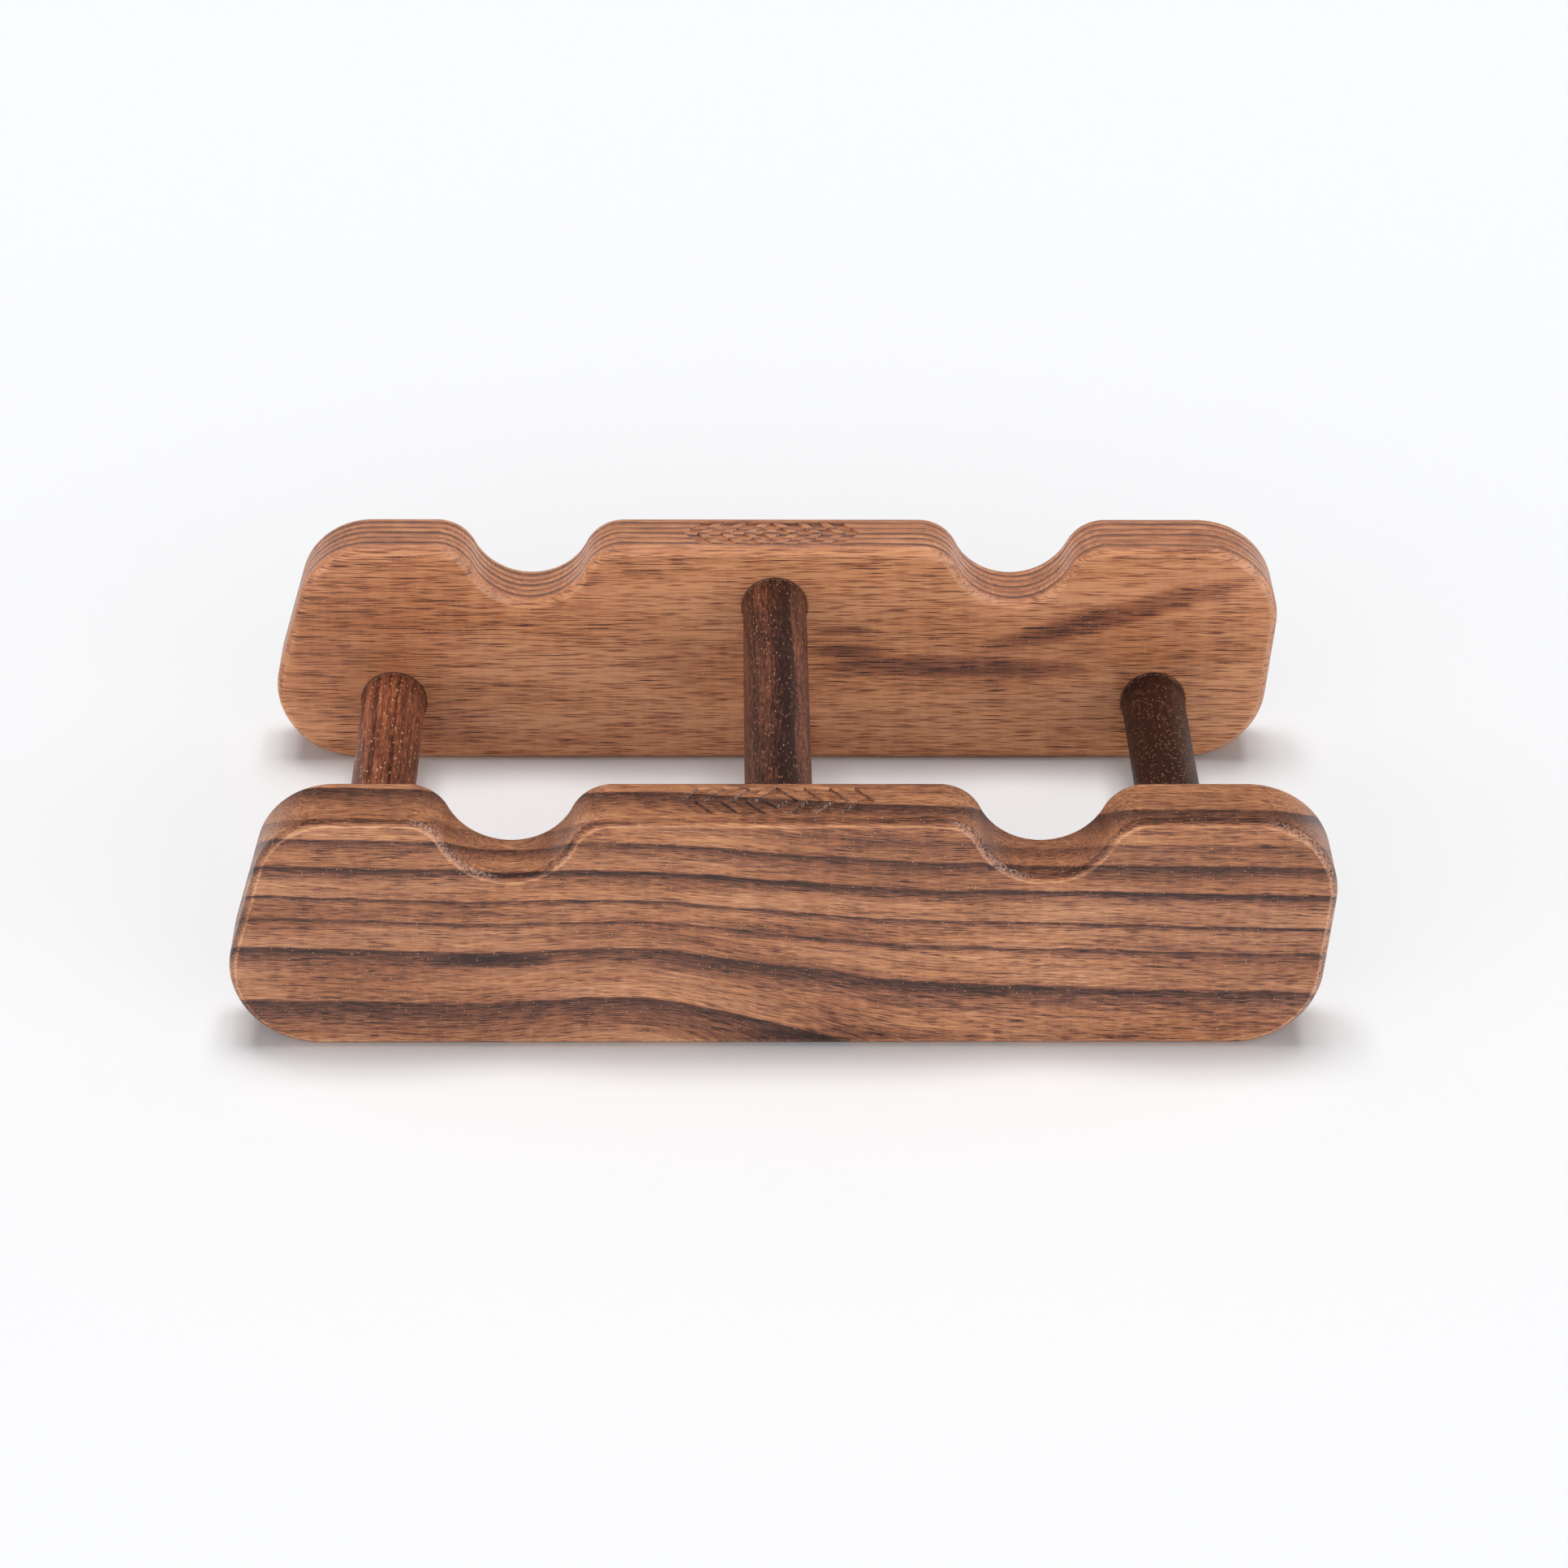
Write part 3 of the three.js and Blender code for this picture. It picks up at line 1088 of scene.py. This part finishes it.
def dowel_tree():
    """A dowel along Y, chamfered at both ends, whose surface wanders a little."""
    tree = tree_with_inputs(
        "turned_dowel",
        (
            ("Radius", "Float"),
            ("Start", "Vector"),
            ("End", "Vector"),
            ("Chamfer", "Float"),
            ("Unevenness", "Float"),
            ("Sides", "Int"),
            ("Rows", "Int"),
            ("Seed", "Float"),
            ("Material", "Material"),
        ),
    )
    source = tree.nodes.new("NodeGroupInput").outputs

    def maths(operation, *operands):
        sockets = dict(enumerate(operands))
        return grow(tree, "ShaderNodeMath", {"operation": operation}, sockets).outputs[0]

    line = grow(
        tree,
        "GeometryNodeCurvePrimitiveLine",
        {},
        {"Start": source["Start"], "End": source["End"]},
    )
    rows = grow(
        tree,
        "GeometryNodeResampleCurve",
        {},
        {"Curve": line.outputs[0], "Count": source["Rows"]},
    )
    whole = grow(tree, "GeometryNodeCurveLength", {}, {"Curve": line.outputs[0]}).outputs[0]
    walked = tree.nodes.new("GeometryNodeSplineParameter").outputs["Length"]
    to_end = maths("MINIMUM", walked, maths("SUBTRACT", whole, walked))
    taper = maths("MAXIMUM", maths("SUBTRACT", source["Chamfer"], to_end), 0.0)
    share = maths("SUBTRACT", 1.0, maths("DIVIDE", taper, source["Radius"]))
    thick = grow(
        tree,
        "GeometryNodeSetCurveRadius",
        {},
        {"Curve": rows.outputs[0], "Radius": share},
    )
    ring = grow(
        tree,
        "GeometryNodeCurvePrimitiveCircle",
        {},
        {"Resolution": source["Sides"], "Radius": source["Radius"]},
    )
    tube = grow(
        tree,
        "GeometryNodeCurveToMesh",
        {},
        {"Curve": thick.outputs[0], "Profile Curve": ring.outputs[0], "Fill Caps": True},
    )
    noise = grow(
        tree,
        "ShaderNodeTexNoise",
        {"noise_dimensions": "4D"},
        {"W": source["Seed"], "Scale": 220.0, "Detail": 3.0, "Roughness": 0.6},
    )
    wander = maths("MULTIPLY", maths("SUBTRACT", noise.outputs[0], 0.5), source["Unevenness"])
    normal = tree.nodes.new("GeometryNodeInputNormal").outputs[0]
    shift = grow(
        tree,
        "ShaderNodeVectorMath",
        {"operation": "SCALE"},
        {"Vector": normal, "Scale": wander},
    )
    uneven = grow(
        tree,
        "GeometryNodeSetPosition",
        {},
        {"Geometry": tube.outputs[0], "Offset": shift.outputs[0]},
    )
    end_tree(tree, uneven.outputs[0], source["Material"])
    return tree


def make_dowel(node, settings, tree, material, seed):
    low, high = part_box(node)
    x, z = (low.x + high.x) / 2, (low.z + high.z) / 2
    blank = new_object("dowel_blank", bpy.data.meshes.new("dowel_blank"))
    values = {
        "Radius": (high.x - low.x) / 2,
        "Start": (x, low.y, z),
        "End": (x, high.y, z),
        "Chamfer": settings.chamfer,
        "Unevenness": settings.unevenness,
        "Sides": settings.sides,
        "Rows": settings.rows,
        "Seed": seed,
        "Material": material,
    }
    dowel = new_object(node + "_wood", run_tree(blank, tree, values, node + "_wood"))
    discard(blank)
    smooth_curves(dowel)
    return dowel


def keep(piece, node):
    """Declares a finished piece, which stands for one node of the frame."""
    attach(piece, "root")
    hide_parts(node)


# Stage


def aim_camera(stage):
    pitch, yaw = stage.elevation, stage.azimuth
    ahead = Vector(
        (math.sin(yaw) * math.cos(pitch), math.cos(yaw) * math.cos(pitch), -math.sin(pitch))
    )
    right = Vector((math.cos(yaw), -math.sin(yaw), 0))
    up = right.cross(ahead)
    right, up = (
        right * math.cos(stage.roll) + up * math.sin(stage.roll),
        up * math.cos(stage.roll) - right * math.sin(stage.roll),
    )
    data = bpy.data.cameras.new("camera")
    data.lens = stage.lens
    data.sensor_width = SENSOR_WIDTH
    data.clip_start = 0.01
    data.clip_end = 100
    camera = bpy.data.objects.new("camera", data)
    bpy.context.scene.collection.objects.link(camera)
    turn = Matrix((right, up, -ahead)).transposed().to_4x4()
    camera.matrix_world = Matrix.Translation(Vector(stage.aim) - ahead * stage.distance) @ turn
    bpy.context.scene.camera = camera


def add_sun(name, strength, spread, source):
    """A distant soft light from the direction source, which puts no highlights on the wood."""
    data = bpy.data.lights.new(name, "SUN")
    data.energy = strength
    data.angle = spread
    sun = bpy.data.objects.new(name, data)
    sun.visible_glossy = False
    sun.rotation_euler = Vector(source).to_track_quat("Z", "Y").to_euler()
    bpy.context.scene.collection.objects.link(sun)


def make_floor(stage):
    shape = bmesh.new()
    bmesh.ops.create_grid(shape, x_segments=8, y_segments=8, size=FLOOR_HALF_SIZE)
    mesh = bpy.data.meshes.new("floor")
    shape.to_mesh(mesh)
    shape.free()
    floor = new_object("floor", mesh)
    sockets = {"Base Color": (*stage.floor, 1), "Roughness": 0.9, "Specular IOR Level": 0.1}
    paint = finish_material(
        "studio_floor", lambda nodes: nodes.add("ShaderNodeBsdfPrincipled", {}, sockets)
    )
    mesh.materials.append(paint)


def make_world(stage):
    """A dim room with two wide softboxes in front and pale walls at both ends."""
    world = bpy.data.worlds.new("studio")
    bpy.context.scene.world = world
    nodes = Nodes(world)
    place = nodes.add("ShaderNodeTexCoord", {}, {}, output="Generated")
    x, y, z = nodes.split(place)
    ahead = (0 - y).step(0.40, 0.72)
    low_box = ahead * z.step(0.02, 0.08) * z.step(0.42, 0.30)
    high_box = ahead * z.step(0.30, 0.42) * z.step(0.88, 0.70)
    sides = x.absolute().step(0.5, 0.85) * z.step(0.55, 0.2)
    strength = (
        low_box * stage.low_strength
        + high_box * stage.high_strength
        + sides * stage.side_strength
        + stage.room_strength
    )
    light = nodes.add("ShaderNodeBackground", {}, {"Strength": strength})
    nodes.node("ShaderNodeOutputWorld", {}, {"Surface": light})


# Operators


class RAZORSTAND_OT_stage(bpy.types.Operator):
    """Sets up the camera, the floor and the soft lights"""

    bl_idname = "razorstand.stage"
    bl_label = "Set the stage"

    def execute(self, context):
        stage = context.scene.razorstand_stage
        context.scene.view_settings.view_transform = "Standard"
        aim_camera(stage)
        make_floor(stage)
        make_world(stage)
        for leans in TOP_LIGHT_LEANS:
            x, y = (math.tan(math.radians(lean)) for lean in leans)
            add_sun("top_light", stage.top_strength, TOP_LIGHT_SPREAD, (x, y, 1))
        return {"FINISHED"}


class RAZORSTAND_OT_rails(bpy.types.Operator):
    """Makes the front and back rails"""

    bl_idname = "razorstand.rails"
    bl_label = "Make the rails"

    def execute(self, context):
        scene = context.scene
        wood = scene.razorstand_wood
        specs = wood_specs(wood)
        settings, band = scene.razorstand_rail, scene.razorstand_band
        for node in RAILS:
            spec = specs[node] | {"band": band_box(settings, band, *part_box(node))}
            material = walnut(node + "_walnut", wood, spec)
            rail = make_rail(node, settings, band, material)
            keep(rail, node)
        return {"FINISHED"}


class RAZORSTAND_OT_dowels(bpy.types.Operator):
    """Makes the three dowels between the rails"""

    bl_idname = "razorstand.dowels"
    bl_label = "Make the dowels"

    def execute(self, context):
        scene = context.scene
        wood = scene.razorstand_wood
        specs = wood_specs(wood)
        tree = dowel_tree()
        inner_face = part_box("back_rail")[0].y
        for node in DOWELS:
            low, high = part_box(node)
            centre = tuple((a + b) / 2 / MM for a, b in ((low.x, high.x), (low.z, high.z)))
            spec = specs[node] | {"centre": centre, "joint": inner_face / MM}
            material = walnut(node + "_walnut", wood, spec)
            dowel = make_dowel(node, scene.razorstand_dowel, tree, material, spec["seed"])
            keep(dowel, node)
        return {"FINISHED"}


class RAZORSTAND_PT_panel(bpy.types.Panel):
    """Lists the stand's settings and the operators that make it"""

    bl_idname = "RAZORSTAND_PT_panel"
    bl_label = "Razor stand"
    bl_space_type = "VIEW_3D"
    bl_region_type = "UI"
    bl_category = "Razor stand"

    def draw(self, context):
        for operator in OPERATORS:
            self.layout.operator(operator.bl_idname)
        for name, settings in SETTINGS.items():
            box = self.layout.box()
            for prop in settings.__annotations__:
                box.prop(getattr(context.scene, name), prop)


SETTINGS = {
    "razorstand_rail": RailSettings,
    "razorstand_band": BandSettings,
    "razorstand_dowel": DowelSettings,
    "razorstand_wood": WoodSettings,
    "razorstand_stage": StageSettings,
}
OPERATORS = (RAZORSTAND_OT_stage, RAZORSTAND_OT_rails, RAZORSTAND_OT_dowels)
CLASSES = (*SETTINGS.values(), *OPERATORS, RAZORSTAND_PT_panel)


def register():
    for item in CLASSES:
        bpy.utils.register_class(item)
    for name, settings in SETTINGS.items():
        setattr(bpy.types.Scene, name, PointerProperty(type=settings))


def unregister():
    for name in SETTINGS:
        delattr(bpy.types.Scene, name)
    for item in reversed(CLASSES):
        bpy.utils.unregister_class(item)


def main():
    register()
    bpy.ops.razorstand.stage()
    bpy.ops.razorstand.rails()
    bpy.ops.razorstand.dowels()


if __name__ == "__main__":
    main()
